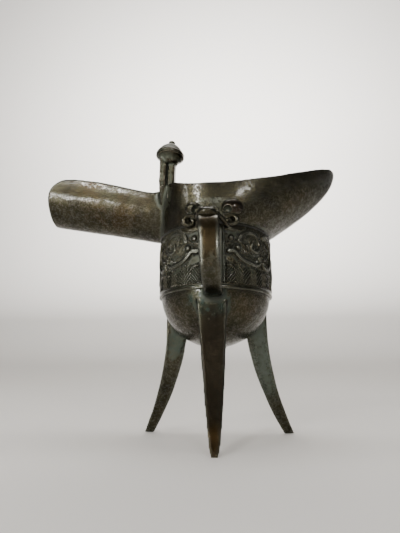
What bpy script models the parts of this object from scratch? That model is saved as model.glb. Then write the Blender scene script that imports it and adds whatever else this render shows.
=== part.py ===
"""Bronze jue: a wine vessel on three legs, cast as one piece. Metres, Z up. The flow (spout trough)
points along -X, the pointed tail along +X and the handle along -Y, and the feet stand on z = 0."""

from math import atan2, copysign, cos, degrees, exp, hypot, pi, radians, sin, sqrt

import bmesh
import bpy
from mathutils import Matrix, Vector

# Bowl, band and neck
WALL = 0.0026
BOWL_RADIUS = 0.0312
BOWL_BOTTOM = 0.0474
BOWL_DEPTH = 0.0296
BOWL_TOP = BOWL_BOTTOM + BOWL_DEPTH
BAND_DROP = 0.0022
BAND_HEIGHT = 0.0360
BAND_BOTTOM = BOWL_TOP - BAND_DROP
BAND_TOP = BAND_BOTTOM + BAND_HEIGHT
BAND_PROUD = 0.0007
BORDER_WIDTH = 0.0016
BORDER_HEIGHT = 0.0011

# Mouth and rim
MOUTH_FLARE = 0.0010
MOUTH_HALF_WIDTH = BOWL_RADIUS + MOUTH_FLARE
NECK_HEIGHT = 0.0227
RIM_LOW = BAND_TOP + NECK_HEIGHT
TAIL_REACH = 0.0735
TAIL_RISE = 0.0205
TAIL_SWEEP = 1.85
TAIL_TAPER = 1.79
TAIL_END_DROP = 0.0024
TAIL_END = 0.93
FLOW_RISE = 0.0130
FLOW_RISE_START = 0.0150
FLOW_RISE_RUN = 0.0750
MOUTH_FULLNESS = 0.80
RIM_HUMP = 0.0042
RIM_HUMP_REACH = 0.0105

# Flow
FLOW_REACH = 0.0998
FLOW_HALF_WIDTH = 0.0168
FLOW_ROOT_DROP = 0.0012
FLOW_LIFT = 0.0129
FLOW_ROOT_BOTTOM = BAND_TOP - FLOW_ROOT_DROP
FLOW_TIP_BOTTOM = FLOW_ROOT_BOTTOM + FLOW_LIFT
FLOW_ROOT = 0.0300
FLOW_CORNER_RADIUS = 0.0120
FLOW_ROUNDNESS = 0.9

# Legs
LEG_TOP_DROP = 0.0030
LEG_TOP = BOWL_TOP - LEG_TOP_DROP
LEG_STRAIGHT = 0.0090
LEG_ROOT_SINK = 0.0024
LEG_INSET = 0.0007
LEG_TOP_RADIUS = BOWL_RADIUS - LEG_INSET
FOOT_SPREAD = 0.0195
FOOT_RADIUS = LEG_TOP_RADIUS + FOOT_SPREAD
LEG_TOP_WIDTH = 0.0170
FOOT_WIDTH = 0.0038
LEG_TOP_DEPTH = 0.0120
FOOT_DEPTH = 0.0060
LEG_CURVE = 2.05
LEG_TAPER = 0.75
FRONT_LEG_TOP_ASIDE = -0.0009
FRONT_FOOT_ASIDE = 0.0008

# Handle
HANDLE_TOP_ABOVE_BAND = 0.0005
HANDLE_FOOT_BELOW_BAND = 0.0013
HANDLE_TOP = BAND_TOP + HANDLE_TOP_ABOVE_BAND
HANDLE_FOOT = BAND_BOTTOM - HANDLE_FOOT_BELOW_BAND
HANDLE_REACH = 0.0180
HANDLE_TOP_WIDTH = 0.0116
HANDLE_FOOT_WIDTH = 0.0092
HANDLE_THICKNESS = 0.0050
HANDLE_TOP_ASIDE = -0.0015
HANDLE_FOOT_ASIDE = 0.0005

# Animal head on the handle
HEAD_WIDTH = 0.0136
HEAD_HEIGHT = 0.0080
EAR_AWAY = 0.0108
EAR_RISE = 0.0064
EAR_WIDTH = 0.0104
EAR_HEIGHT = 0.0100
EAR_PROUD = 0.0015
HORN_RADIUS = 0.0031
HORN_DROP = 0.0003
HORN_THICKNESS = 0.0016
HORN_PROUD = 0.0025
BROW_WIDTH = 0.0060
BROW_DEPTH = 0.0048
BROW_HEIGHT = 0.0040

# Post and cap
POST_TURN = radians(216.04)
POST_OUTSET = 0.00194
POST_X = (BOWL_RADIUS + POST_OUTSET) * cos(POST_TURN)
POST_Y = (BOWL_RADIUS + POST_OUTSET) * sin(POST_TURN)
POST_WIDTH = 0.0090
POST_DEPTH = 0.0066
POST_STAGGER = 0.0022
POST_GROOVE = 0.0012
POST_HEIGHT = 0.0174
POST_ROOT = 0.0088
POST_LEAN = radians(1.5)
CAP_RADIUS = 0.0083
CAP_UNDERSIDE = 0.0042
CAP_BRIM = 0.0030
CAP_HEIGHT = 0.0112
CAP_TILT = radians(5)
CAP_ASIDE = 0.0008

# Masks on the band: places are measured from each mask's middle line and from the band's foot
RELIEF = 0.0013
EYE_AWAY = 0.0218
EYE_UP = 0.0108
EYE_RADIUS = 0.0026
CURL_AWAY = 0.0258
CURL_UP = 0.0222
CURL_RADIUS = 0.0046
BROW_AWAY = 0.0130
BROW_UP = 0.0205
BROW_RADIUS = 0.0052
JAW_AWAY = 0.0150
JAW_UP = 0.0060
JAW_RADIUS = 0.0058
BODY_AWAY = 0.0400
BODY_UP = 0.0170
BODY_RADIUS = 0.0070
RIDGE_HALF_WIDTH = 0.0023

# How far rough shapes run past the rim before it is trimmed, and how finely round shapes are divided
TRIM = 0.0120
LATHE_STEPS = 48
BAND_COLUMNS = 112
BAND_ROWS = 17
RIM_STEPS = 48


def clear_scene():
    for item in list(bpy.data.objects):
        bpy.data.objects.remove(item, do_unlink=True)


def link_object(name, bm):
    bmesh.ops.recalc_face_normals(bm, faces=bm.faces[:])
    mesh = bpy.data.meshes.new(name)
    bm.to_mesh(mesh)
    bm.free()
    made = bpy.data.objects.new(name, mesh)
    bpy.context.collection.objects.link(made)
    return made


def loft(name, rings):
    """Closed skin through rings of as many points each, capped at both ends."""
    bm = bmesh.new()
    edge_loops = []
    for ring in rings:
        verts = [bm.verts.new(point) for point in ring]
        edge_loops.append([bm.edges.new(pair) for pair in zip(verts, verts[1:] + verts[:1])])
    for lower, upper in zip(edge_loops, edge_loops[1:]):
        bmesh.ops.bridge_loops(bm, edges=lower + upper)
    for end in (edge_loops[0], edge_loops[-1]):
        bmesh.ops.contextual_create(bm, geom=end)
    return link_object(name, bm)


def lathe(name, profile, steps):
    """Turned solid from (radius, height) points that start and end on the axis."""
    bm = bmesh.new()
    verts = [bm.verts.new((radius, 0, height)) for radius, height in profile]
    edges = [bm.edges.new(pair) for pair in zip(verts, verts[1:])]
    bmesh.ops.spin(
        bm, geom=verts + edges, axis=(0, 0, 1), cent=(0, 0, 0), angle=2 * pi, steps=steps, use_merge=True
    )
    bmesh.ops.remove_doubles(bm, verts=bm.verts[:], dist=1e-6)
    return link_object(name, bm)


def combine(base, other, operation):
    """Boolean of base with other, which is used up."""
    cut = base.modifiers.new(other.name, "BOOLEAN")
    cut.solver = "MANIFOLD"
    cut.operation = operation
    cut.object = other
    bpy.context.view_layer.update()
    evaluated = base.evaluated_get(bpy.context.evaluated_depsgraph_get())
    mesh = bpy.data.meshes.new_from_object(evaluated)
    base.modifiers.clear()
    base.data = mesh
    bpy.data.objects.remove(other, do_unlink=True)


def blend(start, end, share):
    return start + (end - start) * share


def rim_height(x, front=True):
    """Height of the rim at a distance towards the tail. In front it rises to the foot of the post."""
    if x > 0:
        end = max(0, (x / TAIL_REACH - TAIL_END) / (1 - TAIL_END))
        return RIM_LOW + TAIL_RISE * (x / TAIL_REACH) ** TAIL_SWEEP - TAIL_END_DROP * min(end, 1) ** 2
    share = min(max(-x - FLOW_RISE_START, 0) / FLOW_RISE_RUN, 1)
    hump_reach = RIM_HUMP_REACH if x > POST_X else RIM_HUMP_REACH / 2
    hump = RIM_HUMP * exp(-(((x - POST_X) / hump_reach) ** 2)) if front else 0
    return RIM_LOW + FLOW_RISE * (1 - cos(pi * share)) / 2 + hump


def mouth_point(angle, inset):
    """Leaf-shaped mouth seen from above: a pointed tail at angle 0, and full and round behind."""
    if cos(angle) > 0:
        x = (TAIL_REACH - inset * 1.6) * cos(angle)
        return x, (MOUTH_HALF_WIDTH - inset) * sin(angle) * abs(sin(angle)) ** 0.35
    x = -(BOWL_RADIUS - inset) * abs(cos(angle)) ** MOUTH_FULLNESS
    return x, copysign((MOUTH_HALF_WIDTH - inset) * abs(sin(angle)) ** MOUTH_FULLNESS, sin(angle))


def circle(radius, height):
    turns = [2 * pi * step / LATHE_STEPS for step in range(LATHE_STEPS)]
    return [(radius * cos(turn), radius * sin(turn), height) for turn in turns]


def body(name, inset, above):
    """Deep round bowl, straight wall behind the band, and neck that opens to the leaf-shaped mouth."""
    radius = BOWL_RADIUS - inset
    depth = BOWL_DEPTH - inset
    rings = []
    bowl_turns = 9
    for level in range(1, bowl_turns + 1):
        turn = radians(6 + 84 * (level - 1) / (bowl_turns - 1))
        rings.append(circle(radius * sin(turn), BOWL_TOP - depth * cos(turn)))
    rings.append(circle(radius, BAND_TOP))
    for rise in (0.16, 0.33, 0.50, 0.66, 0.81, 0.93, 1):
        ring = []
        opening = 1 - (1 - rise) ** TAIL_TAPER
        for step, (x, y, _) in enumerate(circle(radius, BAND_TOP)):
            rim_x, rim_y = mouth_point(2 * pi * step / LATHE_STEPS, inset)
            height = blend(BAND_TOP, rim_height(rim_x), rise) + (above if rise == 1 else 0)
            ring.append((blend(x, rim_x, opening), blend(y, rim_y, opening), height))
        rings.append(ring)
    return loft(name, rings)


def flow(name, inset, start, end, above):
    """Round-bottomed trough along X, open above once the hollow is taken out of it."""
    rings = []
    stations = 12
    sides = 14
    half_width = FLOW_HALF_WIDTH - inset
    for station in range(stations + 1):
        x = blend(start, end, station / stations)
        along = (-x - FLOW_ROOT) / (FLOW_REACH - FLOW_ROOT)
        bottom = blend(FLOW_ROOT_BOTTOM, FLOW_TIP_BOTTOM, along) + inset
        top = rim_height(x)
        ring = []
        for side in range(1, sides):
            turn = pi * side / sides
            ring.append((x, -half_width * cos(turn), top - (top - bottom) * sin(turn) ** FLOW_ROUNDNESS))
        ring.append((x, half_width, top + above))
        ring.append((x, -half_width, top + above))
        rings.append(ring)
    return loft(name, rings)


def rim_outline(front):
    """What is above the rim and past the flow's rounded end, seen from the side."""
    end = -FLOW_REACH
    top = BAND_TOP * 2
    outline = [(end - TRIM * 2, FLOW_ROOT_BOTTOM - TRIM), (end, FLOW_ROOT_BOTTOM - TRIM)]
    corner = FLOW_CORNER_RADIUS
    corner_top = rim_height(end + corner)
    for step in range(8):
        turn = radians(90 * step / 7)
        outline.append((end + corner - corner * cos(turn), corner_top - corner + corner * sin(turn)))
    reach = TAIL_REACH * 1.2
    for step in range(1, RIM_STEPS + 1):
        x = blend(end + corner, reach, step / RIM_STEPS)
        outline.append((x, rim_height(x, front)))
    return outline + [(reach, top), (end - TRIM * 2, top)]


def rim_cutter():
    rings = []
    for side in (-2, -0.25, 0.25, 2):
        rings.append([(x, MOUTH_HALF_WIDTH * side, z) for x, z in rim_outline(side < 0)])
    return loft("rim_cutter", rings)


def arc_distance(s, h, away, up, radius, start, end):
    """Distance on the unrolled band from an arc between two angles in degrees."""
    turn = degrees(atan2(h - up, s - away)) % 360
    if start <= turn <= end:
        return abs(hypot(s - away, h - up) - radius)
    ends = [(away + radius * cos(radians(a)), up + radius * sin(radians(a))) for a in (start, end)]
    return min(hypot(s - x, h - y) for x, y in ends)


def ridge(distance, half_width):
    return max(0, 1 - (distance / half_width) ** 2)


def mask_relief(angle, h):
    """Height of the carved mask at an angle from its middle line, and a height above the band's foot."""
    s = abs(angle) * BOWL_RADIUS
    wide = RIDGE_HALF_WIDTH
    nose = ridge(s, wide) if h < BAND_HEIGHT * 0.8 else 0
    eye = 1.2 * ridge(hypot(s - EYE_AWAY, h - EYE_UP), EYE_RADIUS)
    curl = ridge(arc_distance(s, h, CURL_AWAY, CURL_UP, CURL_RADIUS, 0, 250), wide)
    brow = ridge(arc_distance(s, h, BROW_AWAY, BROW_UP, BROW_RADIUS, 180, 350), wide)
    jaw = ridge(arc_distance(s, h, JAW_AWAY, JAW_UP, JAW_RADIUS, 60, 200), wide)
    trunk = ridge(arc_distance(s, h, BODY_AWAY, BODY_UP, BODY_RADIUS, 90, 330), wide)
    return RELIEF * max(nose, eye, curl, brow, jaw, trunk)


def band_relief(angle, h):
    """Border lines at the band's edges, and two masks: one split by the handle, one facing away."""
    edge = min(h, BAND_HEIGHT - h)
    if edge < BORDER_WIDTH:
        return BORDER_HEIGHT
    from_handle = (angle + pi / 2 + pi / 2) % pi - pi / 2
    return BAND_PROUD + mask_relief(from_handle, h)


def band():
    """Carved ring round the belly, its back sunk in the wall."""
    edge_rows = [0, BORDER_WIDTH * 0.98]
    inset = BORDER_WIDTH * 1.6
    inner_rows = [blend(inset, BAND_HEIGHT - inset, row / BAND_ROWS) for row in range(BAND_ROWS + 1)]
    heights = edge_rows + inner_rows + [BAND_HEIGHT - h for h in reversed(edge_rows)]
    rings = []
    back = BOWL_RADIUS - WALL / 2
    around = [2 * pi * step / BAND_COLUMNS for step in range(BAND_COLUMNS)]
    rings.append([(back * cos(a), back * sin(a), BAND_BOTTOM) for a in around])
    for h in heights:
        radii = [BOWL_RADIUS + band_relief(a, h) for a in around]
        rings.append([(r * cos(a), r * sin(a), BAND_BOTTOM + h) for r, a in zip(radii, around)])
    rings.append([(back * cos(a), back * sin(a), BAND_TOP) for a in around])
    return loft("band", rings)


def leg(angle, top_aside=0, foot_aside=0):
    """Sabre leg: a flat outer face, a keel towards the middle, curving outwards to a small flat foot."""
    rings = []
    stations = 12
    for station in range(stations + 1):
        down = station / stations
        height = LEG_TOP * (1 - down)
        bend = 1 - height / (LEG_TOP - LEG_STRAIGHT)
        outer = LEG_TOP_RADIUS - LEG_ROOT_SINK * (bend * (LEG_TOP - LEG_STRAIGHT) / LEG_STRAIGHT) ** 2
        if bend > 0:
            outer = blend(LEG_TOP_RADIUS, FOOT_RADIUS, bend**LEG_CURVE)
        width = blend(FOOT_WIDTH, LEG_TOP_WIDTH, (1 - down) ** LEG_TAPER)
        depth = blend(LEG_TOP_DEPTH, FOOT_DEPTH, down)
        chamfer = 0.09 * width
        section = [
            (-width / 2, -chamfer),
            (-width / 2 + chamfer, 0),
            (width / 2 - chamfer, 0),
            (width / 2, -chamfer),
            (chamfer, -depth),
            (-chamfer, -depth),
        ]
        ring = []
        for across, inward in section:
            across += blend(top_aside, foot_aside, down)
            reach = outer + inward
            x = reach * cos(angle) - across * sin(angle)
            y = reach * sin(angle) + across * cos(angle)
            ring.append((x, y, height))
        rings.append(ring)
    return loft("leg", rings)


def handle_path():
    """Middle line of the strap in (distance from the axis, height), from the wall and back to it."""
    wall = BOWL_RADIUS - WALL / 2
    reach = BOWL_RADIUS + HANDLE_REACH - HANDLE_THICKNESS / 2
    steps = 18
    middle = (HANDLE_TOP + HANDLE_FOOT) / 2
    half = (HANDLE_TOP - HANDLE_FOOT) / 2
    path = []
    for step in range(steps + 1):
        turn = blend(pi / 2, -pi / 2, step / steps)
        out = abs(cos(turn)) ** 0.55
        rise = half * abs(sin(turn)) ** 0.85
        path.append((blend(wall, reach, out), middle + (rise if turn > 0 else -rise)))
    return path


def handle():
    path = handle_path()
    rings = []
    for index, (out, height) in enumerate(path):
        before = Vector(path[max(index - 1, 0)])
        after = Vector(path[min(index + 1, len(path) - 1)])
        tangent = (after - before).normalized()
        normal = Vector((-tangent.y, tangent.x))
        width = blend(HANDLE_TOP_WIDTH, HANDLE_FOOT_WIDTH, index / (len(path) - 1))
        thick = HANDLE_THICKNESS
        edge = thick * 0.22
        section = [
            (-width / 2, -thick / 2 + edge),
            (-width / 2, thick / 2 - edge),
            (-width / 2 + edge, thick / 2),
            (width / 2 - edge, thick / 2),
            (width / 2, thick / 2 - edge),
            (width / 2, -thick / 2 + edge),
            (width / 2 - edge, -thick / 2),
            (-width / 2 + edge, -thick / 2),
        ]
        ring = []
        aside = blend(HANDLE_TOP_ASIDE, HANDLE_FOOT_ASIDE, index / (len(path) - 1))
        for across, proud in section:
            ring.append((aside + across, -(out + normal.x * proud), height + normal.y * proud))
        rings.append(ring)
    return loft("handle", rings)


def ball(name, centre, radii, steps=14):
    bm = bmesh.new()
    place = Matrix.Translation(centre) @ Matrix.Diagonal((*radii, 1))
    bmesh.ops.create_uvsphere(bm, u_segments=steps, v_segments=steps // 2 + 1, radius=1, matrix=place)
    return link_object(name, bm)


def ring_horn(name, centre, radius, thickness, turn):
    """Closed curl of round stock, facing outwards from the wall."""
    sections = 14
    sides = 6
    bm = bmesh.new()
    verts = []
    for side in range(sides):
        a = 2 * pi * side / sides
        verts.append(bm.verts.new((radius + thickness * cos(a), 0, thickness * sin(a))))
    edges = [bm.edges.new(pair) for pair in zip(verts, verts[1:] + verts[:1])]
    bmesh.ops.spin(
        bm, geom=verts + edges, axis=(0, 0, 1), cent=(0, 0, 0), angle=2 * pi, steps=sections, use_merge=True
    )
    place = Matrix.Translation(centre) @ Matrix.Rotation(turn, 4, "Z") @ Matrix.Rotation(pi / 2, 4, "X")
    bmesh.ops.transform(bm, matrix=place, verts=bm.verts[:])
    return link_object(name, bm)


def post():
    """Post of two columns side by side, one outside the wall and one inside it, under a mushroom cap."""
    base = rim_height(POST_X) - POST_ROOT
    height = POST_ROOT + POST_HEIGHT
    column = POST_WIDTH / 2
    pieces = []
    for side in (-1, 1):
        half_x = column / 2 - POST_GROOVE / 6
        half_y = POST_DEPTH / 2
        rings = []
        for rise in (0, 0.1, 1):
            spread = 1.0 if rise else 0.6
            ring = []
            for step in range(12):
                a = 2 * pi * (step + 0.5) / 12
                x = half_x * spread * max(-1, min(1, 1.35 * cos(a)))
                y = half_y * spread * max(-1, min(1, 1.35 * sin(a)))
                ring.append((side * column / 2 + x, side * POST_STAGGER / 2 + y, base + height * rise))
            rings.append(ring)
        pieces.append(loft("column", rings))
    bm = bmesh.new()
    bmesh.ops.create_cube(bm, size=1)
    core = Matrix.Translation((0, POST_GROOVE, base + height * 0.55)) @ Matrix.Diagonal(
        (column, POST_DEPTH - POST_GROOVE * 3, height * 0.9, 1)
    )
    bmesh.ops.transform(bm, matrix=core, verts=bm.verts[:])
    pieces.append(link_object("core", bm))
    brim = base + height
    profile = [
        (0, brim - CAP_UNDERSIDE),
        (POST_DEPTH / 2 * 1.25, brim - CAP_UNDERSIDE),
        (CAP_RADIUS * 0.92, brim),
        (CAP_RADIUS, brim + CAP_BRIM * 0.25),
        (CAP_RADIUS, brim + CAP_BRIM * 0.85),
        (CAP_RADIUS * 0.90, brim + CAP_BRIM * 1.15),
        (CAP_RADIUS * 0.72, brim + CAP_HEIGHT * 0.45),
        (CAP_RADIUS * 0.70, brim + CAP_HEIGHT * 0.52),
        (CAP_RADIUS * 0.62, brim + CAP_HEIGHT * 0.55),
        (CAP_RADIUS * 0.30, brim + CAP_HEIGHT * 0.78),
        (CAP_RADIUS * 0.16, brim + CAP_HEIGHT * 0.84),
        (CAP_RADIUS * 0.20, brim + CAP_HEIGHT * 0.92),
        (CAP_RADIUS * 0.12, brim + CAP_HEIGHT * 0.99),
        (0, brim + CAP_HEIGHT),
    ]
    cap = lathe("cap", profile, 24)
    brim_middle = Vector((0, 0, brim))
    turned = Matrix.Rotation(CAP_TILT, 4, "Y")
    tilt = Matrix.Translation(brim_middle) @ turned @ Matrix.Translation(-brim_middle)
    cap.data.transform(Matrix.Translation((CAP_ASIDE, 0, 0)) @ tilt)
    pieces.append(cap)
    whole = pieces[0]
    for piece in pieces[1:]:
        combine(whole, piece, "UNION")
    pivot = Vector((0, 0, base))
    place = (
        Matrix.Translation((POST_X, POST_Y, 0))
        @ Matrix.Translation(pivot)
        @ Matrix.Rotation(POST_LEAN, 4, "Y")
        @ Matrix.Translation(-pivot)
    )
    whole.data.transform(place)
    return whole


def head():
    """Animal head on top of the handle: flat muzzle, two brows, and beside it ears above curled horns."""
    front = BOWL_RADIUS + HANDLE_REACH * 0.75
    middle = Vector((HANDLE_TOP_ASIDE, -(BOWL_RADIUS + front) / 2, HANDLE_TOP))
    muzzle = (HEAD_WIDTH / 2, (front - BOWL_RADIUS) * 0.62, HEAD_HEIGHT / 2)
    whole = ball("head", middle, muzzle)
    for side in (-1, 1):
        brow_aside = HANDLE_TOP_ASIDE + side * HEAD_WIDTH * 0.26
        brow_place = (brow_aside, BROW_HEIGHT / 2 - front, HANDLE_TOP + HEAD_HEIGHT * 0.28)
        brow = (BROW_WIDTH / 2, BROW_DEPTH / 2, BROW_HEIGHT / 2)
        combine(whole, ball("brow", brow_place, brow, 8), "UNION")
        wall = -sqrt(BOWL_RADIUS**2 - EAR_AWAY**2)
        ear_place = (side * EAR_AWAY, wall - EAR_PROUD, HANDLE_TOP + EAR_RISE)
        ear = (EAR_WIDTH / 2, EAR_WIDTH * 0.38, EAR_HEIGHT / 2)
        combine(whole, ball("ear", ear_place, ear, 12), "UNION")
        horn_place = (side * (EAR_AWAY + HORN_THICKNESS), wall - HORN_PROUD, HANDLE_TOP - HORN_DROP)
        horn = ring_horn("horn", horn_place, HORN_RADIUS, HORN_THICKNESS, side * radians(20))
        combine(whole, horn, "UNION")
    return whole


def bronze():
    material = bpy.data.materials.new("bronze")
    material.use_nodes = True
    shader = material.node_tree.nodes["Principled BSDF"]
    shader.inputs["Base Color"].default_value = (0.085, 0.070, 0.040, 1)
    shader.inputs["Metallic"].default_value = 0.9
    shader.inputs["Roughness"].default_value = 0.42
    return material


clear_scene()
vessel = body("jue_vessel", 0, TRIM / 2)
combine(vessel, band(), "UNION")
combine(vessel, flow("flow", 0, -FLOW_ROOT / 3, -FLOW_REACH - TRIM, TRIM / 2), "UNION")
combine(vessel, leg(radians(-90), FRONT_LEG_TOP_ASIDE, FRONT_FOOT_ASIDE), "UNION")
for turn in (30, 150):
    combine(vessel, leg(radians(turn)), "UNION")
combine(vessel, handle(), "UNION")
combine(vessel, head(), "UNION")
combine(vessel, rim_cutter(), "DIFFERENCE")
hollow = body("hollow", WALL, TRIM)
combine(hollow, flow("flow_hollow", WALL, -FLOW_ROOT / 3, -FLOW_REACH - TRIM * 2, TRIM), "UNION")
combine(vessel, hollow, "DIFFERENCE")
combine(vessel, post(), "UNION")

corners = [vert.co for vert in vessel.data.vertices]
centre_x = (max(c.x for c in corners) + min(c.x for c in corners)) / 2
centre_y = (max(c.y for c in corners) + min(c.y for c in corners)) / 2
vessel.data.transform(Matrix.Translation((-centre_x, -centre_y, -min(c.z for c in corners))))
vessel.data.materials.clear()
vessel.data.materials.append(bronze())
vessel.data.shade_smooth()
vessel.data.set_sharp_from_angle(angle=radians(35))
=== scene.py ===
from math import copysign, cos, exp, pi, radians, sin, sqrt

import bmesh
import bpy
import numpy as np
from mathutils import Matrix, Vector, noise


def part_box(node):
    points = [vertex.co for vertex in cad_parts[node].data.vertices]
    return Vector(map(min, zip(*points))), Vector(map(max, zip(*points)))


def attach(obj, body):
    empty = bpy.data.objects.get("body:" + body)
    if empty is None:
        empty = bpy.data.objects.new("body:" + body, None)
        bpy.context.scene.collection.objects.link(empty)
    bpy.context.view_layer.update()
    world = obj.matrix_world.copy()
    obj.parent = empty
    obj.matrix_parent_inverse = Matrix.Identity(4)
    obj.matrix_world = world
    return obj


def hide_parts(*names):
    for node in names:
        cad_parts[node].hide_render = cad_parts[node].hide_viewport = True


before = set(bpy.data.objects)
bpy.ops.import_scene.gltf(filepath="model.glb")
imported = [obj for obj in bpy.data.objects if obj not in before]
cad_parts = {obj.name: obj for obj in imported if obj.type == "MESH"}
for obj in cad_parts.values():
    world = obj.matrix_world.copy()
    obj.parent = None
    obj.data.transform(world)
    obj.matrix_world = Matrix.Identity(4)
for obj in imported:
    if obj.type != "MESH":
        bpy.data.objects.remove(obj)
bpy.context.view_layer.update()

# The casting: bowl, wall behind the band, neck, flow, tail, three legs and the strap of the handle.
# It is tin bronze, cast in one piece in a clay mould, so every join is a soft fillet and no edge is
# sharp. The feet stand on the floor, and the skin is a little uneven all over.
wall = 0.0026
bowl_radius = 0.0312
bowl_bottom = 0.0474
bowl_top = 0.0770
band_bottom = 0.0748
band_top = 0.1108
mouth_half_width = 0.0322
mouth_fullness = 0.80
rim_low = 0.1335
tail_reach = 0.0735
tail_rise = 0.0205
tail_sweep = 1.85
tail_taper = 1.79
tail_end = 0.93
tail_end_drop = 0.0024
flow_rise = 0.0130
flow_rise_start = 0.0150
flow_rise_run = 0.0750
rim_hump = 0.0042
rim_hump_reach = 0.0105
flow_reach = 0.0998
flow_half_width = 0.0168
flow_root = 0.0300
flow_root_bottom = 0.1096
flow_tip_bottom = 0.1225
flow_corner = 0.0120
flow_roundness = 0.9
foot_radius = 0.0500
post_x = -0.0268
post_y = -0.0195
trim = 0.0120
columns = 160
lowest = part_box("jue_vessel")[0]
to_frame = Matrix.Translation((lowest[0] + flow_reach, lowest[1] + foot_radius, 0))


def blend(start, end, share):
    return start + (end - start) * share


def settle(name, bm):
    """Turns the faces outward and makes an object of the mesh."""
    bmesh.ops.recalc_face_normals(bm, faces=bm.faces[:])
    mesh = bpy.data.meshes.new(name)
    bm.to_mesh(mesh)
    bm.free()
    made = bpy.data.objects.new(name, mesh)
    bpy.context.collection.objects.link(made)
    return made


def skin(name, rings):
    """Closed skin through rings of as many points each, capped at both ends."""
    bm = bmesh.new()
    loops = []
    for ring in rings:
        verts = [bm.verts.new(point) for point in ring]
        loops.append([bm.edges.new(pair) for pair in zip(verts, verts[1:] + verts[:1])])
    for lower, upper in zip(loops, loops[1:]):
        bmesh.ops.bridge_loops(bm, edges=lower + upper)
    for end in (loops[0], loops[-1]):
        bmesh.ops.contextual_create(bm, geom=end)
    return settle(name, bm)


def bake_modifiers(piece):
    bpy.context.view_layer.update()
    evaluated = piece.evaluated_get(bpy.context.evaluated_depsgraph_get())
    mesh = bpy.data.meshes.new_from_object(evaluated)
    piece.modifiers.clear()
    piece.data = mesh


def combine(base, other, operation):
    """Boolean of base with other, which is used up."""
    cut = base.modifiers.new("combine", "BOOLEAN")
    cut.operation = operation
    cut.solver = "MANIFOLD"
    cut.object = other
    bake_modifiers(base)
    bpy.data.objects.remove(other, do_unlink=True)


def remesh(piece, voxel):
    even = piece.modifiers.new("even", "REMESH")
    even.mode = "VOXEL"
    even.voxel_size = voxel
    bake_modifiers(piece)


def positions(piece):
    found = np.empty(len(piece.data.vertices) * 3)
    piece.data.vertices.foreach_get("co", found)
    return found.reshape(-1, 3)


def put_back(piece, places):
    piece.data.vertices.foreach_set("co", places.ravel())
    piece.data.update()


def point_normals(piece):
    found = np.empty(len(piece.data.vertices) * 3)
    piece.data.vertices.foreach_get("normal", found)
    return found.reshape(-1, 3)


def neighbours(piece):
    """Returns a function that averages a value over the points around each point."""
    count = len(piece.data.vertices)
    edges = np.empty(len(piece.data.edges) * 2, dtype=np.int64)
    piece.data.edges.foreach_get("vertices", edges)
    first, second = edges.reshape(-1, 2).T
    degree = np.bincount(first, minlength=count) + np.bincount(second, minlength=count)

    def average(values):
        total = np.empty_like(values)
        for axis in range(values.shape[1]):
            total[:, axis] = np.bincount(first, values[second, axis], count)
            total[:, axis] += np.bincount(second, values[first, axis], count)
        return total / degree[:, None]

    return average


def soften(piece, rounds, fillet_rounds, fillet_reach):
    """Evens the skin without shrinking it, and fills the sharp hollows where forms meet."""
    draw_in = 0.50
    push_out = 0.52
    fill = 0.9
    places = positions(piece)
    average = neighbours(piece)

    def even():
        nonlocal places
        places = places + draw_in * (average(places) - places)
        places = places - push_out * (average(places) - places)

    for _ in range(rounds):
        even()
    for _ in range(fillet_rounds):
        put_back(piece, places)
        drawn = average(places) - places
        hollow = (drawn * point_normals(piece)).sum(axis=1)
        places = places + fill * drawn * np.clip(hollow / fillet_reach, 0, 1)[:, None]
    even()
    put_back(piece, places)


def mark_hollows(piece, rounds, depth):
    """Stores how far each point lies below its softened surroundings: above 0.5 in a hollow."""
    places = positions(piece)
    average = neighbours(piece)
    soft = places.copy()
    for _ in range(rounds):
        soft = average(soft)
    below = ((soft - places) * point_normals(piece)).sum(axis=1)
    hollow = piece.data.attributes.new("hollow", "FLOAT", "POINT")
    hollow.data.foreach_set("value", np.clip(0.5 + below / depth / 2, 0, 1))


def finish_piece(piece):
    """Moves a finished piece to the frame, and lets it ride with the vessel."""
    piece.data.transform(to_frame)
    piece.data.shade_smooth()
    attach(piece, "root")


def rim_height(x, front=True):
    if x > 0:
        end = max(0, (x / tail_reach - tail_end) / (1 - tail_end))
        return rim_low + tail_rise * (x / tail_reach) ** tail_sweep - tail_end_drop * min(end, 1) ** 2
    share = min(max(-x - flow_rise_start, 0) / flow_rise_run, 1)
    hump_reach = rim_hump_reach if x > post_x else rim_hump_reach / 2
    hump = rim_hump * exp(-(((x - post_x) / hump_reach) ** 2)) if front else 0
    return rim_low + flow_rise * (1 - cos(pi * share)) / 2 + hump


def mouth_point(angle, inset):
    """Leaf-shaped mouth from above: a pointed tail at angle 0, full and round behind."""
    if cos(angle) > 0:
        tip_inset = inset * 1.6
        narrowing = 0.35
        x = (tail_reach - tip_inset) * cos(angle)
        return x, (mouth_half_width - inset) * sin(angle) * abs(sin(angle)) ** narrowing
    x = -(bowl_radius - inset) * abs(cos(angle)) ** mouth_fullness
    return x, copysign((mouth_half_width - inset) * abs(sin(angle)) ** mouth_fullness, sin(angle))


def circle(radius, height):
    turns = [2 * pi * step / columns for step in range(columns)]
    return [(radius * cos(turn), radius * sin(turn), height) for turn in turns]


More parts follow.
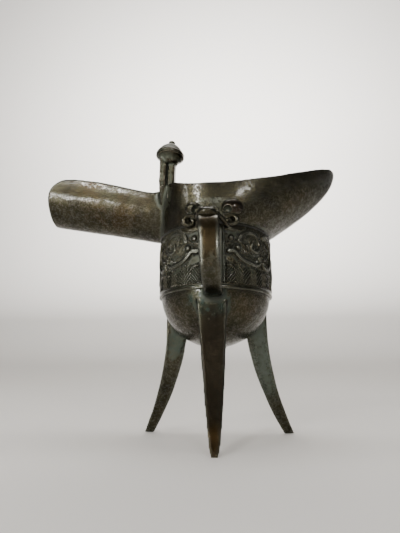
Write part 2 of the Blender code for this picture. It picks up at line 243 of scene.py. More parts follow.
def bowl_and_neck(name, inset, above):
    """Bowl, upright wall and opening neck in one, thinner all round by the inset."""
    radius = bowl_radius - inset
    depth = bowl_top - bowl_bottom - inset
    rings = []
    bowl_levels = 24
    for level in range(bowl_levels + 1):
        turn = radians(blend(2, 90, level / bowl_levels))
        rings.append(circle(radius * sin(turn), bowl_top - depth * cos(turn)))
    rings.append(circle(radius, band_top))
    levels = 22
    for level in range(1, levels + 1):
        rise = 1 if level == levels else level / (levels - 0.5)
        opening = 1 - (1 - rise) ** tail_taper
        ring = []
        for step, (x, y, _) in enumerate(circle(radius, band_top)):
            rim_x, rim_y = mouth_point(2 * pi * step / columns, inset)
            height = blend(band_top, rim_height(rim_x), rise) + (above if rise == 1 else 0)
            ring.append((blend(x, rim_x, opening), blend(y, rim_y, opening), height))
        rings.append(ring)
    return skin(name, rings)


def trough(name, inset, start, end, above):
    """The flow as a round-bottomed bar, to be hollowed by a thinner one."""
    rings = []
    stations = 40
    sides = 44
    half_width = flow_half_width - inset
    for station in range(stations + 1):
        x = blend(start, end, station / stations)
        along = (-x - flow_root) / (flow_reach - flow_root)
        bottom = blend(flow_root_bottom, flow_tip_bottom, along) + inset
        top = rim_height(x)
        ring = []
        for side in range(1, sides):
            turn = pi * side / sides
            ring.append((x, -half_width * cos(turn), top - (top - bottom) * sin(turn) ** flow_roundness))
        ring.append((x, half_width, top + above))
        ring.append((x, -half_width, top + above))
        rings.append(ring)
    return skin(name, rings)


def above_the_rim():
    """Everything over the rim and past the flow's rounded end, higher in front beside the post."""
    end = -flow_reach
    top = band_top * 2
    reach = tail_reach * 1.2
    corner_steps = 12
    rim_steps = 120
    rings = []
    for side in (-2, -0.25, 0.25, 2):
        outline = [(end - trim * 2, flow_root_bottom - trim), (end, flow_root_bottom - trim)]
        corner_top = rim_height(end + flow_corner)
        for step in range(corner_steps + 1):
            turn = radians(90 * step / corner_steps)
            across = end + flow_corner - flow_corner * cos(turn)
            outline.append((across, corner_top - flow_corner + flow_corner * sin(turn)))
        for step in range(1, rim_steps + 1):
            x = blend(end + flow_corner, reach, step / rim_steps)
            outline.append((x, rim_height(x, side < 0)))
        outline += [(reach, top), (end - trim * 2, top)]
        rings.append([(x, mouth_half_width * side, z) for x, z in outline])
    return skin("above_the_rim", rings)


leg_top = 0.0740
leg_straight = 0.0090
leg_root_sink = 0.0024
leg_top_radius = 0.0305
leg_top_width = 0.0170
foot_width = 0.0038
leg_top_depth = 0.0120
foot_depth = 0.0060
leg_curve = 2.05
leg_taper = 0.75
toe_start = 0.95
toe_narrowing = 0.22
front_leg_top_aside = -0.0009
front_foot_aside = 0.0008


def sabre_leg(turn, top_aside=0, foot_aside=0):
    """Leg with a flat outer face, a keel towards the middle and a rounded toe."""
    stations = 60
    rings = []
    for station in range(stations + 1):
        down = station / stations
        height = leg_top * (1 - down)
        bend = 1 - height / (leg_top - leg_straight)
        outer = leg_top_radius - leg_root_sink * (bend * (leg_top - leg_straight) / leg_straight) ** 2
        if bend > 0:
            outer = blend(leg_top_radius, foot_radius, bend**leg_curve)
        width = blend(foot_width, leg_top_width, (1 - down) ** leg_taper)
        width *= 1 - toe_narrowing * max(0, (down - toe_start) / 0.05) ** 2
        depth = blend(leg_top_depth, foot_depth, down)
        chamfer = 0.06 * width
        section = [
            (-width / 2, -chamfer),
            (-width / 2 + chamfer, 0),
            (width / 2 - chamfer, 0),
            (width / 2, -chamfer),
            (chamfer, -depth),
            (-chamfer, -depth),
        ]
        ring = []
        for across, inward in section:
            across += blend(top_aside, foot_aside, down)
            reach = outer + inward
            x = reach * cos(turn) - across * sin(turn)
            y = reach * sin(turn) + across * cos(turn)
            ring.append((x, y, height))
        rings.append(ring)
    return skin("leg", rings)


handle_top = 0.1113
handle_foot = 0.0735
handle_reach = 0.0180
handle_top_width = 0.0120
handle_foot_width = 0.0092
handle_thickness = 0.0050
handle_top_aside = -0.0022
handle_foot_aside = 0.0005


def strap():
    """The handle: a flat strap that leaves the neck, drops straight and turns back in over the leg."""
    inner = bowl_radius - wall / 2
    outer = bowl_radius + handle_reach - handle_thickness / 2
    middle = (handle_top + handle_foot) / 2
    half = (handle_top - handle_foot) / 2
    steps = 48
    sides = 28
    rise_fullness = 0.85
    reach_fullness = 0.55
    path = []
    for step in range(steps + 1):
        turn = blend(pi / 2, -pi / 2, step / steps)
        rise = half * abs(sin(turn)) ** rise_fullness
        out = blend(inner, outer, abs(cos(turn)) ** reach_fullness)
        path.append((out, middle + (rise if turn > 0 else -rise)))
    rings = []
    for index, (out, height) in enumerate(path):
        before = Vector(path[max(index - 1, 0)])
        after = Vector(path[min(index + 1, steps)])
        along = (after - before).normalized()
        width = blend(handle_top_width, handle_foot_width, index / steps)
        aside = blend(handle_top_aside, handle_foot_aside, index / steps)
        ring = []
        for side in range(sides):
            turn = 2 * pi * side / sides
            across = width / 2 * copysign(abs(cos(turn)) ** 0.3, cos(turn))
            proud = handle_thickness / 2 * copysign(abs(sin(turn)) ** 0.5, sin(turn))
            ring.append((aside + across, -(out - along.y * proud), height + along.x * proud))
        rings.append(ring)
    return skin("strap", rings)


def post_foot():
    """Swelling of the wall that carries the outer half of the post and fades out below it."""
    steps = 19
    corners = 24
    half_wide = 0.0022
    squareness = 1.2
    bottom = rim_height(post_x) - 0.0130
    height = 0.0140
    rings = []
    for step in range(steps + 1):
        rise = step / steps
        fade = (1 - rise) ** 1.5
        wide = half_wide - 0.0008 * fade
        deep = 0.0030 * (1 - 0.6 * fade)
        inward = post_y - 0.0008 + 0.0062 * fade
        ring = []
        for corner in range(corners):
            angle = 2 * pi * corner / corners
            x = post_x - half_wide + wide * max(-1, min(1, squareness * cos(angle)))
            y = inward + deep * max(-1, min(1, squareness * sin(angle)))
            ring.append((x, y, bottom + height * rise))
        rings.append(ring)
    return skin("post_foot", rings)


casting = bowl_and_neck("vessel_casting", 0, trim / 2)
combine(casting, trough("flow", 0, -flow_root / 3, -flow_reach - trim, trim / 2), "UNION")
combine(casting, sabre_leg(radians(-90), front_leg_top_aside, front_foot_aside), "UNION")
for degrees_round in (30, 150):
    combine(casting, sabre_leg(radians(degrees_round)), "UNION")
combine(casting, strap(), "UNION")
combine(casting, post_foot(), "UNION")
combine(casting, above_the_rim(), "DIFFERENCE")
hollow = bowl_and_neck("hollow", wall, trim)
combine(hollow, trough("flow_hollow", wall, -flow_root / 3, -flow_reach - trim * 2, trim), "UNION")
combine(casting, hollow, "DIFFERENCE")
casting_triangles = 190000
dent_depth = 0.00022
remesh(casting, 0.00056)
soften(casting, 5, 40, 0.00004)
places = positions(casting)
broad_swell = np.array([noise.noise(Vector(place) * 70) for place in places])
small_swell = np.array([noise.noise(Vector(place) * 190) for place in places])
dent = np.clip(0.5 - (broad_swell + 0.4 * small_swell), 0, 1.2)
above_the_floor = np.clip(places[:, 2] / 0.004, 0, 1)
put_back(casting, places - point_normals(casting) * (dent * above_the_floor * dent_depth)[:, None])
mark_hollows(casting, 12, 0.0004)
fewer = casting.modifiers.new("fewer", "DECIMATE")
fewer.ratio = casting_triangles / sum(len(p.vertices) - 2 for p in casting.data.polygons)
bake_modifiers(casting)
finish_piece(casting)
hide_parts("jue_vessel")

# The band: a ring of relief cast with the wall, two animal masks on a ground of fine lines. One
# mask is split by the handle and one faces away. Its flat ridges carry cut lines and are worn on
# their edges, its ground is packed with green, and a raised line closes it above and below.
band_columns = 864
band_rows = 108
band_radius = 32.4
band_foot = (band_bottom - bowl_top) * 1000
band_height = (band_top - bowl_top) * 1000
ground_lift = 0.0004
# in mm, s from the middle of a mask and t up from the top of the bowl: ribbons and dark cuts have
# half width, height or depth, and points (s, t), and bosses have s, t, radius and height
ribbons = [
    (1.5, 1.60, [(14.6, 23.4), (16.0, 27.0), (20.0, 29.0), (25.0, 28.4), (28.4, 25.0), (27.8, 20.8)]
     + [(24.6, 18.8), (21.8, 20.2), (22.4, 23.2)]),
    (1.0, 1.0, [(7.6, 21.6), (10.6, 23.2), (14.6, 23.0), (18.0, 20.4), (19.4, 16.8)]),
    (1.5, 1.75, [(8.4, 17.6), (11.6, 17.8), (13.6, 15.6), (16.4, 13.4), (20.0, 12.2), (24.6, 11.4)]
     + [(27.8, 13.0), (27.4, 16.0)]),
    (0.8, 0.9, [(7.6, 10.2), (10.4, 9.6), (12.2, 7.2), (12.2, 3.8)]),
    (1.5, 1.50, [(31.6, 28.6), (36.0, 28.4), (39.6, 24.8), (40.9, 19.6), (39.7, 14.2), (36.0, 11.0)]
     + [(32.0, 11.2), (30.6, 13.8)]),
    (1.2, 1.15, [(50.2, 29.8), (46.4, 29.4), (43.9, 26.4), (44.4, 22.8), (47.0, 21.4), (48.6, 23.6)]),
    (1.1, 1.05, [(32.4, 15.6), (35.5, 17.6), (35.4, 21.8), (32.6, 24.0), (31.2, 26.4)]),
    (1.2, 1.1, [(50.0, 16.6), (46.0, 15.2), (43.4, 11.6), (43.0, 7.4), (45.4, 5.0), (48.0, 6.6)]),
    (0.9, 0.9, [(28.4, 7.0), (33.0, 8.2), (37.4, 7.4), (40.2, 4.2)]),
]
bosses = [
    (13.6, 19.9, 1.9, 1.5),
    (10.0, 25.0, 1.8, 1.2),
    (14.9, 10.8, 0.8, 0.9),
    (17.4, 10.2, 0.6, 0.8),
    (33.2, 19.9, 1.0, 0.9),
    (46.6, 18.4, 0.8, 0.8),
]
dark_cuts = [
    (1.0, 0.9, [(7.4, 28.2), (11.0, 27.3), (15.2, 26.6)]),
    (2.0, 0.9, [(8.2, 13.8), (11.4, 12.6)]),
    (1.0, 0.9, [(24.0, 23.4), (25.2, 22.2)]),
    (0.9, 0.9, [(33.2, 14.2), (34.8, 13.6)]),
    (0.7, 0.9, [(19.4, 8.6), (23.4, 7.8)]),
    (0.8, 0.9, [(20.4, 16.8), (22.6, 15.6)]),
]


def smooth_line(points, pieces=6):
    """Points along a soft curve through the given ones."""
    ends = [np.array(p, dtype=float) for p in [points[0], *points, points[-1]]]
    found = []
    for a, b, c, d in zip(ends, ends[1:], ends[2:], ends[3:]):
        for step in range(pieces):
            t = step / pieces
            bend = (-a + 3 * b - 3 * c + d) * t**3 + (2 * a - 5 * b + 4 * c - d) * t**2 + (c - a) * t
            found.append(b + bend / 2)
    return found + [ends[-1]]


def distance_to(points, s, t):
    """Distance of each place on the unrolled band to a soft line, and how far along the line it is."""
    line = smooth_line(points)
    nearest = np.full(s.shape, 1e9)
    along = np.zeros(s.shape)
    for index, (a, b) in enumerate(zip(line, line[1:])):
        step = b - a
        share = np.clip(((s - a[0]) * step[0] + (t - a[1]) * step[1]) / max(step @ step, 1e-9), 0, 1)
        away = np.hypot(s - a[0] - share * step[0], t - a[1] - share * step[1])
        closer = away < nearest
        nearest = np.where(closer, away, nearest)
        along = np.where(closer, (index + share) / (len(line) - 1), along)
    return nearest, along


def rounded(distance, half_width):
    """Height of a worn ridge, 1 on its crest."""
    return np.clip(1 - (distance / half_width) ** 2, 0, 1) ** 0.5


def groove(distance):
    """Depth of a cut line, 1 on its middle."""
    half_width = 0.32
    return np.clip(1 - distance / half_width, 0, 1)


def ground_lines(s, t):
    """Fine raised lines: square spirals, upright lines at the top, and slanting ones at the foot."""
    cell = 3.2
    turn_pitch = 0.9
    line_pitch = 1.3
    fold_width = 8.8
    hatch_top = 9.4
    upright_bottom = 25.2
    x = (s + (np.floor(t / cell) % 2) * cell / 2) % cell - cell / 2
    y = t % cell - cell / 2
    reach = np.maximum(np.abs(x), np.abs(y))
    spirals = np.cos(2 * pi * (reach / turn_pitch - np.arctan2(y, x) / (2 * pi)))
    fold = np.abs((s + 1.3) % fold_width - fold_width / 2)
    slants = np.cos(2 * pi * (fold * 0.80 + t * 0.60) / line_pitch)
    upright = np.cos(2 * pi * (s * 0.97 - t * 0.24) / line_pitch)
    lines = np.where(t < hatch_top, slants, spirals)
    lines = np.where((t > upright_bottom) & (s > 19), upright, lines)
    return np.clip(0.5 + lines, 0, 1)


def mask_relief(s, t):
    """Height in mm of one half mask, from its middle line (s = 0) to the seam between the masks."""
    lift = 0.75 * ground_lines(s, t)
    plate = np.clip((18.5 - s) / 1.5, 0, 1) * np.clip((t - 28.6) / 0.5, 0, 1)
    lift = lift * (1 - plate) + 0.9 * plate
    for half_width, height, points in dark_cuts:
        distance, _ = distance_to(points, s, t)
        cut = rounded(distance, half_width)
        lift = lift * (1 - cut) - height * cut
    for half_width, height, points in ribbons:
        distance, along = distance_to(points, s, t)
        taper = half_width * (1 - 0.5 * np.clip((along - 0.6) / 0.4, 0, 1))
        crest = height * np.clip((taper - distance) / 0.5, 0, 1) ** 0.7
        inside = (along > 0.04) & (along < 0.96)
        lines = groove(np.abs(distance - taper * 0.42)) * inside
        ticks = groove(np.abs((along * 30) % 1 - 0.5) * 2) * (distance < taper * 0.4)
        crest = crest - 0.30 * lines - 0.15 * ticks
        lift = np.where(distance < taper, np.maximum(lift, crest), lift)
    for across, up, radius, height in bosses:
        distance = np.hypot(s - across, t - up)
        lift = np.where(distance < radius + 0.6, 0.1, lift)
        lift = np.where(distance < radius, np.maximum(height * rounded(distance, radius), lift), lift)
    return lift


def band_relief(turn, t):
    """Height in mm round the whole band. The handle is at a turn of minus a quarter circle."""
    from_handle = np.abs((turn + pi / 2 + pi) % (2 * pi) - pi) * band_radius
    half = pi * band_radius / 2
    s = np.where(from_handle < half, from_handle, 2 * half - from_handle)
    steps = np.round(s / half * band_columns / 4).astype(int)
    level = np.round((t - band_foot) / (band_height - band_foot) * (band_rows - 1)).astype(int)
    across = np.linspace(0, half, band_columns // 4 + 1)
    upward = np.linspace(band_foot, band_height, band_rows)
    grid_s, grid_t = np.meshgrid(across, upward, indexing="ij")
    lift = mask_relief(grid_s, grid_t)[steps, level]
    front = from_handle < half
    beside_handle = 1.8 * rounded(np.abs(s - 5.7), 0.55)
    lift = np.where(front & (s < 5.6), 0.2, lift)
    lift = np.where(front, np.maximum(lift, beside_handle), lift)
    lift = np.where((s < 7.2) & ~front, 0.6 * ground_lines(s, t), lift)
    seam = np.clip((t - 2) / 4, 0, 1) * np.clip((25 - t) / 5, 0, 1)
    lift = np.maximum(lift, 1.4 * rounded(half - s, 2.4) * seam)
    nose_width = 1.6 + 1.6 * np.clip(1 - t / 20, 0, 1)
    nose = 1.5 * rounded(s, nose_width) * (t < 27) * ~front
    lift = np.maximum(lift, nose)
    lower = np.abs(t - band_foot - 0.85)
    second = np.abs(t - band_foot - 2.7)
    upper = np.abs(band_height - t - 0.75)
    edge = np.minimum(t - band_foot - 1.1, band_height - t)
    lift = np.where(edge < 1.7, 0.1, lift)
    lift = np.maximum(lift, 0.8 * rounded(lower, 1.7))
    lift = np.maximum(lift, 0.6 * rounded(second, 0.4))
    return np.maximum(lift, 0.9 * rounded(upper, 0.6))


def spin_round(bm, verts, edges, steps):
    """Turns an outline once round the upright axis."""
    whole = {"axis": (0, 0, 1), "cent": (0, 0, 0), "angle": 2 * pi, "use_merge": True}
    bmesh.ops.spin(bm, geom=verts + edges, steps=steps, **whole)


ring_bm = bmesh.new()
inside_wall = bowl_radius - wall * 0.6
rows = [(inside_wall, band_bottom)]
rows += [(bowl_radius, blend(band_bottom, band_top, row / (band_rows - 1))) for row in range(band_rows)]
rows += [(inside_wall, band_top)]
verts = [ring_bm.verts.new((out, 0, height)) for out, height in rows]
edges = [ring_bm.edges.new(pair) for pair in zip(verts, verts[1:] + verts[:1])]
spin_round(ring_bm, verts, edges, band_columns)
band = settle("carved_band", ring_bm)
places = positions(band)
turn = np.arctan2(places[:, 1], places[:, 0])
out = np.hypot(places[:, 0], places[:, 1])
outer_face = out > bowl_radius - 0.0001
lift = (band_relief(turn, (places[:, 2] - bowl_top) * 1000) / 1000 + ground_lift) * outer_face
worn = np.array([noise.noise(Vector(place) * 150) for place in places])
out = out + lift * (1 + 0.18 * worn)
places[:, 0] = out * np.cos(turn)
places[:, 1] = out * np.sin(turn)
put_back(band, places)
mark_hollows(band, 30, 0.0009)
finish_piece(band)

# The animal head at the top of the handle: a flat muzzle with two arched brows. A broad ear lies on
# the wall at each side of it, over a curled horn. Cast with the strap, and worn smooth by hands.
head_width = 0.0136
head_height = 0.0080
ear_away = 0.0108
ear_rise = 0.0074
horn_rise = -0.0003
brow_radius = 0.0007
cheek_radius = 0.0011
head_front = bowl_radius + handle_reach * 0.75


def ball(name, centre, radii, steps=40):
    bm = bmesh.new()
    shape = Matrix.Translation(centre) @ Matrix.Diagonal((*radii, 1))
    bmesh.ops.create_uvsphere(bm, u_segments=steps, v_segments=steps // 2, radius=1, matrix=shape)
    return settle(name, bm)


def rope(name, path, radii, sides=14):
    """Round stock along a path, its radius given at each point of it."""
    rings = []
    for index, centre in enumerate(path):
        along = (path[min(index + 1, len(path) - 1)] - path[max(index - 1, 0)]).normalized()
        across = along.cross(Vector((0, 1, 0.05))).normalized()
        over = along.cross(across)
        ring = []
        for side in range(sides):
            angle = 2 * pi * side / sides
            ring.append(centre + radii[index] * (across * cos(angle) + over * sin(angle)))
        rings.append(ring)
    return skin(name, rings)


beast = ball(
    "beast_head",
    (handle_top_aside, -(bowl_radius + head_front) / 2, handle_top),
    (head_width / 2, (head_front - bowl_radius) * 0.62, head_height / 2),
)
for side in (-1, 1):
    brow = []
    brow_steps = 24
    for step in range(brow_steps + 1):
        angle = radians(blend(-10, 195, step / brow_steps))
        x = handle_top_aside + side * (head_width * 0.22 + 0.0026 * cos(angle))
        brow.append(Vector((x, -head_front + 0.0014, handle_top + 0.0002 + 0.0022 * sin(angle))))
    combine(beast, rope("brow", brow, [brow_radius] * len(brow)), "UNION")
    cheek_start = Vector((handle_top_aside + side * 0.0032, -head_front + 0.0020, handle_top + 0.0022))
    cheek_end = Vector((side * 0.0082, -bowl_radius - 0.0012, handle_top - 0.0036))
    cheek = [cheek_start.lerp(cheek_end, step / 12) for step in range(13)]
    combine(beast, rope("cheek", cheek, [cheek_radius] * len(cheek)), "UNION")
    wall_there = -sqrt(bowl_radius**2 - ear_away**2)
    broad = 1.15 if side > 0 else 0.86
    ear_centre = Vector((side * (ear_away - 0.0004), wall_there - 0.0012, handle_top + ear_rise))
    ear = ball("ear", ear_centre, (0.0052 * broad, 0.0036, 0.0044 * broad))
    combine(beast, ear, "UNION")
    notch_centre = ear_centre + Vector((side * -0.0026, -0.0034, -0.0020))
    notch_size = (0.0026, 0.0030, 0.0022) if side > 0 else (0.0030, 0.0032, 0.0032)
    combine(beast, ball("ear_notch", notch_centre, notch_size, 24), "DIFFERENCE")
    horn = []
    horn_steps = 48
    horn_away = ear_away + (0.0010 if side < 0 else -0.0014)
    for step in range(horn_steps + 1):
        angle = radians(blend(140, -250, step / horn_steps))
        reach = blend(0.0040, 0.0010, step / horn_steps)
        x = side * (horn_away + 1.15 * reach * cos(angle))
        horn.append(Vector((x, wall_there - 0.0022, handle_top + horn_rise + 0.86 * reach * sin(angle))))
    stock = [blend(0.0016, 0.0011, step / horn_steps) for step in range(horn_steps + 1)]
    combine(beast, rope("horn", horn, stock), "UNION")
remesh(beast, 0.00024)
soften(beast, 3, 6, 0.00003)
mark_hollows(beast, 14, 0.0004)
finish_piece(beast)

# The post: one square column on the rim, where the flow meets the mouth. A deep groove splits it
# into a rough outer half that runs down the wall and a smooth half inside, under a mushroom cap.
post_width = 0.0090
post_depth = 0.0066
post_stagger = 0.0022
post_groove = 0.0012
post_height = 0.0174
post_root = 0.0088
cap_radius = 0.0083
cap_underside = 0.0042
cap_brim = 0.0030
cap_height = 0.0112
cap_tilt = radians(5)
cap_aside = 0.0008
post_lean = radians(1.5)
squareness = 1.25
roughness_depth = 0.00016
base = rim_height(post_x) - post_root
column = post_width / 2
stem = post_root + post_height
post = None
for side in (-1, 1):
    rings = []
    steps = 29
    for step in range(steps + 1):
        rise = step / steps
        flare = 1 + 0.06 * rise**8
        sunk = post_depth * 0.40 * max(0, 1 - rise / 0.40) ** 1.3 if side < 0 else 0
        ring = []
        for corner in range(40):
            angle = 2 * pi * (corner + 0.5) / 40
            half_x = (column / 2 - post_groove / 6) * flare
            half_y = post_depth / 2 * flare - sunk
            x = half_x * max(-1, min(1, squareness * cos(angle)))
            y = half_y * max(-1, min(1, squareness * sin(angle))) + sunk * 2
            ring.append((side * column / 2 + x, side * post_stagger / 2 + y, base + stem * rise))
        rings.append(ring)
    half = skin("post", rings)
    if post is None:
        post = half
    else:
        combine(post, half, "UNION")
core_bm = bmesh.new()
bmesh.ops.create_cube(core_bm, size=1)
core_size = Matrix.Diagonal((column, post_depth - post_groove * 3, stem * 0.9, 1))
core_place = Matrix.Translation((0, post_groove, base + stem * 0.55)) @ core_size
bmesh.ops.transform(core_bm, matrix=core_place, verts=core_bm.verts[:])
combine(post, settle("core", core_bm), "UNION")
outline = [
    (0, -cap_underside),
    (post_depth / 2 * 1.25, -cap_underside),
    (cap_radius * 0.70, -cap_underside * 0.38),
    (cap_radius * 0.93, 0.0000),
    (cap_radius, cap_brim * 0.25),
    (cap_radius * 0.97, cap_brim * 0.45),
    (cap_radius, cap_brim * 0.65),
    (cap_radius * 0.98, cap_brim * 0.90),
    (cap_radius * 0.88, cap_brim * 1.20),
    (cap_radius * 0.86, cap_height * 0.38),
    (cap_radius * 0.74, cap_height * 0.46),
    (cap_radius * 0.72, cap_height * 0.52),
    (cap_radius * 0.64, cap_height * 0.57),
    (cap_radius * 0.44, cap_height * 0.71),
    (cap_radius * 0.26, cap_height * 0.80),
    (cap_radius * 0.20, cap_height * 0.84),
    (cap_radius * 0.24, cap_height * 0.90),
    (cap_radius * 0.20, cap_height * 0.96),
    (cap_radius * 0.10, cap_height * 0.99),
    (0, cap_height),
]
cap_bm = bmesh.new()
verts = [cap_bm.verts.new((max(out, 0), 0, up)) for out, up in smooth_line(outline, 4)]
edges = [cap_bm.edges.new(pair) for pair in zip(verts, verts[1:])]
spin_round(cap_bm, verts, edges, 72)
bmesh.ops.remove_doubles(cap_bm, verts=cap_bm.verts[:], dist=1e-6)
cap = settle("cap", cap_bm)
cap.data.transform(Matrix.Translation((cap_aside, 0, base + stem)) @ Matrix.Rotation(cap_tilt, 4, "Y"))
combine(post, cap, "UNION")
lean = Matrix.Translation((post_x, post_y, base)) @ Matrix.Rotation(post_lean, 4, "Y")
post.data.transform(lean @ Matrix.Translation((0, 0, -base)))
remesh(post, 0.0003)
soften(post, 3, 6, 0.00004)
places = positions(post)
rough = np.array([noise.noise(Vector(place) * 420) for place in places])
outside = np.clip((post_x - places[:, 0]) / 0.001, 0.25, 1)
put_back(post, places + point_normals(post) * (rough * outside * roughness_depth)[:, None])
mark_hollows(post, 12, 0.0004)
finish_piece(post)

# Bronze: a dark olive brown skin over warm metal. Green corrosion sits in the hollows and in
# patches, hands have worn the ridges and the handle to brown, and fine pits speckle the shine.
# Painted shade: the deepest hollows are painted near black, and the front leg is painted darker.


class Signal:
    """A shader output that adds, multiplies and mixes like a number."""

    def __init__(self, tree, socket=None):
        self.tree = tree
        self.socket = socket

    def node(self, kind, inputs=(), output=0, **settings):
        made = self.tree.nodes.new(kind)
        for name, value in settings.items():
            setattr(made, name, value)
        for key, value in dict(inputs).items():
            if isinstance(value, Signal):
                self.tree.links.new(value.socket, made.inputs[key])
            else:
                made.inputs[key].default_value = value
        return Signal(self.tree, made.outputs[output])

    def maths(self, operation, *values):
        return self.node("ShaderNodeMath", enumerate(values), operation=operation)

    def __add__(self, other):
        return self.maths("ADD", self, other)

    def __radd__(self, other):
        return self.maths("ADD", other, self)

    def __sub__(self, other):
        return self.maths("SUBTRACT", self, other)

    def __rsub__(self, other):
        return self.maths("SUBTRACT", other, self)

    def __mul__(self, other):
        return self.maths("MULTIPLY", self, other)

    def __rmul__(self, other):
        return self.maths("MULTIPLY", other, self)

    def step(self, low, high):
        """0 below low and 1 above high, with a soft change between them."""
        limits = {"Value": self, "From Min": low, "From Max": high}
        return self.node("ShaderNodeMapRange", limits, interpolation_type="SMOOTHSTEP")

    def tint(self, other, share):
        """This colour, mixed with another one by a share."""
        return self.node("ShaderNodeMix", {0: share, 6: self, 7: other}, 2, data_type="RGBA")

    def speckle(self, scale, detail=3, roughness=0.5):
        """Noise at this place."""
        inputs = {"Vector": self, "Scale": scale, "Detail": detail, "Roughness": roughness}
        return self.node("ShaderNodeTexNoise", inputs, "Fac")

    def near(self, point, reach, fade=0.5):
        """1 at a point of the vessel, falling to 0 at the reach given for each axis."""
        centre = tuple(to_frame @ Vector(point))
        offset = self.node("ShaderNodeVectorMath", {0: self, 1: centre}, operation="SUBTRACT")
        shares = self.node("ShaderNodeVectorMath", {0: offset, 1: reach}, operation="DIVIDE")
        length = self.node("ShaderNodeVectorMath", {0: shares}, "Value", operation="LENGTH")
        return 1 - length.step(fade, 1.0)


bronze = bpy.data.materials.new("old_bronze")
bronze.use_nodes = True
start = Signal(bronze.node_tree)
here = start.node("ShaderNodeTexCoord", output="Object")
hollow = start.node("ShaderNodeAttribute", output="Fac", attribute_name="hollow")
broad = here.speckle(34, 4, 0.65)
patch = here.speckle(85, 5, 0.7)
fine = here.speckle(420, 4, 0.7)
grain = here.speckle(1150, 3, 0.7)

olive = start.node("ShaderNodeRGB")
olive.socket.default_value = (0.036, 0.033, 0.018, 1)
dark = (0.014, 0.012, 0.006, 1)
brown = (0.046, 0.029, 0.009, 1)
green = (0.062, 0.072, 0.050, 1)
teal = (0.010, 0.030, 0.023, 1)
blue_grey = (0.100, 0.118, 0.095, 1)
grey = (0.130, 0.135, 0.110, 1)
pale_green = (0.130, 0.155, 0.115, 1)
deep_hollow_shade = (0.004, 0.004, 0.003, 1)
leg_brown_and_shade = (0.012, 0.008, 0.003, 1)
leg_painted_shade = (0.010, 0.007, 0.003, 1)
ear_brown = (0.020, 0.012, 0.006, 1)
toe_brown = (0.050, 0.028, 0.007, 1)
colour = olive.tint(dark, patch.step(0.42, 0.66) * 0.8)
colour = colour.tint(brown, (broad * 0.7 + fine * 0.3).step(0.48, 0.62) * 0.50)

front_leg = here.near((0.0, -0.0430, 0.034), (0.014, 0.030, 0.048))
strap_face = here.near((-0.0010, -0.0500, 0.0980), (0.0080, 0.0090, 0.0170), 0.6)
toe = here.near((0.0008, -0.0500, 0.004), (0.008, 0.012, 0.016))
# Front leg: partly its own dark brown, partly painted shade that makes it darker than the bronze round
# it.
colour = colour.tint(leg_brown_and_shade, front_leg * 0.85)
colour = colour.tint(brown, strap_face * (0.30 + fine * 0.5))
colour = colour.tint(toe_brown, toe * 0.8)
right_ear = here.near((0.0125, -0.0350, 0.1190), (0.0075, 0.0070, 0.0052), 0.7)
colour = colour.tint(ear_brown, right_ear * 0.85)

leg_root = here.near((-0.002, -0.0300, 0.0690), (0.017, 0.014, 0.0095))
strap_foot = here.near((0.001, -0.0480, 0.0800), (0.010, 0.010, 0.012))
tail_leg = here.near((0.0300, 0.0150, 0.0440), (0.016, 0.018, 0.030))
flow_leg_root = here.near((-0.0250, 0.0120, 0.0500), (0.012, 0.016, 0.012))
post_zone = here.near((-0.0280, -0.0200, 0.1500), (0.011, 0.011, 0.030), 0.8)
neck_zone = here.near((-0.0010, -0.0330, 0.1190), (0.016, 0.010, 0.009))
band_zone = here.near((0, 0, 0.0930), (0.060, 0.060, 0.0190), 0.9)
zones = leg_root * 0.12 + strap_foot * 0.16 + tail_leg * 0.20 + flow_leg_root * 0.26 + post_zone * 0.26
zones = zones + neck_zone * 0.16 + band_zone * 0.07
corroded = (hollow * 1.5 + patch * 0.5 + fine * 0.35 + zones - 1.15).step(0.05, 0.40)
green_places = leg_root + tail_leg * 0.5 + flow_leg_root * 0.6
bright_green = green_places * (patch * 0.7 + fine * 0.7).step(0.62, 0.85)
colour = colour.tint(green, corroded * 0.85)
colour = colour.tint(teal, bright_green * 0.75)
over_head = here.near((0.0020, -0.0330, 0.1228), (0.0100, 0.0060, 0.0020), 0.6)
colour = colour.tint(grey, over_head * (fine * 1.4 - 0.3))
border = here.near((0.0058, -0.0330, 0.0925), (0.0008, 0.0050, 0.0190), 0.6)
colour = colour.tint(pale_green, border * 0.7)
# Painted shade: the deepest hollows are painted near black.
colour = colour.tint(deep_hollow_shade, hollow.step(0.56, 0.84) * 0.9)
colour = colour.tint(blue_grey, tail_leg * (fine * 0.9 + patch * 0.5 - 0.15))
worn_edge = (0.5 - hollow).step(0.06, 0.34)
colour = colour.tint(grey, worn_edge * (0.30 + band_zone * 0.60))
pale_spots = (grain * 0.6 + fine * 0.4).step(0.60, 0.70)
colour = colour.tint(grey, pale_spots * 0.35)
# Painted shade: the front leg above the toe is darkened again.
colour = colour.tint(leg_painted_shade, front_leg * (1 - toe) * 0.75)

tree = bronze.node_tree
shader = tree.nodes["Principled BSDF"]
tree.links.new(colour.socket, shader.inputs["Base Color"])
roughness = 0.14 + 0.18 * fine + corroded * 0.20
tree.links.new(roughness.socket, shader.inputs["Roughness"])
metal = 0.88 - corroded * 0.35
tree.links.new(metal.socket, shader.inputs["Metallic"])
shine = (grain * 0.6 + fine * 0.4).step(0.46, 0.58) * (0.85 - corroded * 0.5) * (1 - front_leg * 0.8)
tree.links.new(shine.socket, shader.inputs["Coat Weight"])
shader.inputs["Coat Roughness"].default_value = 0.16
relief = grain * 0.9 + fine * 1.2 + patch * 1.2
bump = start.node("ShaderNodeBump", {"Height": relief, "Strength": 0.9, "Distance": 0.00016}, "Normal")
tree.links.new(bump.socket, shader.inputs["Normal"])
for piece in (casting, band, beast, post):
    piece.data.materials.clear()
    piece.data.materials.append(bronze)

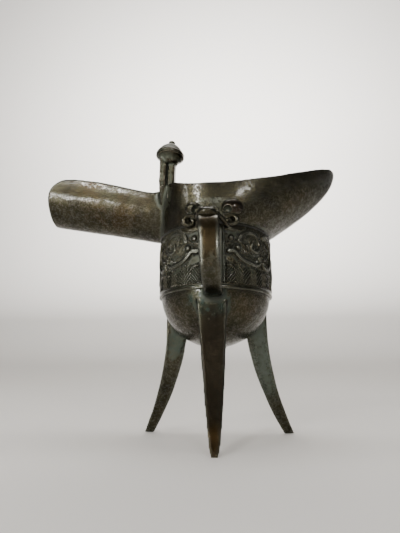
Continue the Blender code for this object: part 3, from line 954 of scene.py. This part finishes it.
# Studio: a sheet of pale paper that lies flat and sweeps up behind, under a dim sky. Small lamps in
# front give the bright streaks on the flow and the neck, large ones above light floor and backdrop.
floor_bm = bmesh.new()
flat_end = 0.5
sweep_radius = 1.5
sweep_steps = 24
profile = [(-2.5, 0), (flat_end, 0)]
for step in range(1, sweep_steps + 1):
    turn = radians(90 * step / sweep_steps)
    profile.append((flat_end + sweep_radius * sin(turn), sweep_radius - sweep_radius * cos(turn)))
profile.append((flat_end + sweep_radius, 3.6))
verts = [floor_bm.verts.new((-3, y, z)) for y, z in profile]
chain = [floor_bm.edges.new(pair) for pair in zip(verts, verts[1:])]
swept = bmesh.ops.extrude_edge_only(floor_bm, edges=chain)["geom"]
moved = [item for item in swept if isinstance(item, bmesh.types.BMVert)]
bmesh.ops.translate(floor_bm, verts=moved, vec=(6, 0, 0))
floor = settle("floor", floor_bm)
floor.data.shade_smooth()
paper = bpy.data.materials.new("pale_paper")
paper.use_nodes = True
paper_shader = paper.node_tree.nodes["Principled BSDF"]
paper_shader.inputs["Base Color"].default_value = (0.78, 0.76, 0.73, 1)
paper_shader.inputs["Roughness"].default_value = 0.95
floor.data.materials.append(paper)

world = bpy.data.worlds.new("room")
world.use_nodes = True
sky = Signal(world.node_tree)
direction = sky.node("ShaderNodeTexCoord", output="Generated")
height = sky.node("ShaderNodeSeparateXYZ", {"Vector": direction}, "Z")
shades = {0: height.step(0.05, 0.40), 6: (0.46, 0.455, 0.45, 1), 7: (0.10, 0.10, 0.10, 1)}
level = sky.node("ShaderNodeMix", shades, 2, data_type="RGBA")
world.node_tree.links.new(level.socket, world.node_tree.nodes["Background"].inputs["Color"])
bpy.context.scene.world = world


def lamp(name, place, aim, wide, tall, watts):
    """Soft lamp of a width and height in metres, aimed at a point."""
    light = bpy.data.lights.new(name, "AREA")
    light.shape = "RECTANGLE"
    light.size = wide
    light.size_y = tall
    light.energy = watts
    light.color = (1.0, 0.98, 0.95)
    holder = bpy.data.objects.new(name, light)
    turn = (Vector(aim) - Vector(place)).to_track_quat("-Z", "Y")
    holder.matrix_world = Matrix.Translation(place) @ turn.to_matrix().to_4x4()
    holder.visible_camera = False
    bpy.context.collection.objects.link(holder)


lamp("lamp_flow", (-0.44, -0.74, 0.06), (-0.05, 0, 0.13), 0.12, 0.10, 2.0)
lamp("lamp_neck", (-0.285, -0.70, 0.42), (0, 0, 0.12), 0.09, 0.11, 2.2)
lamp("lamp_front_right", (0.27, -0.72, 0.38), (0.03, 0, 0.12), 0.10, 0.08, 1.1)
lamp("lamp_left", (-0.44, -0.43, 0.35), (0, 0, 0.10), 0.08, 0.08, 0.5)
lamp("lamp_floor", (0.0, 0.10, 1.30), (0, 0.15, 0), 0.9, 0.6, 8)
lamp("lamp_backdrop_high", (0.0, 0.40, 1.20), (0, 2.0, 2.7), 1.2, 0.8, 130)
lamp("lamp_backdrop_low", (0.0, 0.40, 1.20), (0, 2.0, 1.9), 1.2, 0.8, 40)

# Camera: close to the front, a little right of the handle, looking up by 15 degrees
look_up = radians(15)
view_round = radians(4.5)
camera_away = 0.240
camera_left = 0.009
camera_down = 0.0129
axis_point = to_frame @ Vector((0, 0, 0.108))
forward = Vector((-sin(view_round) * cos(look_up), cos(view_round) * cos(look_up), sin(look_up)))
right = Vector((cos(view_round), sin(view_round), 0))
upward = right.cross(forward)
lens = bpy.data.cameras.new("camera")
lens.lens = 27.0
lens.sensor_width = 36.0
lens.clip_start = 0.01
camera = bpy.data.objects.new("camera", lens)
stand = axis_point - camera_left * right - camera_down * upward - camera_away * forward
camera.matrix_world = Matrix.Translation(stand) @ Matrix((right, upward, -forward)).transposed().to_4x4()
bpy.context.collection.objects.link(camera)
bpy.context.scene.camera = camera
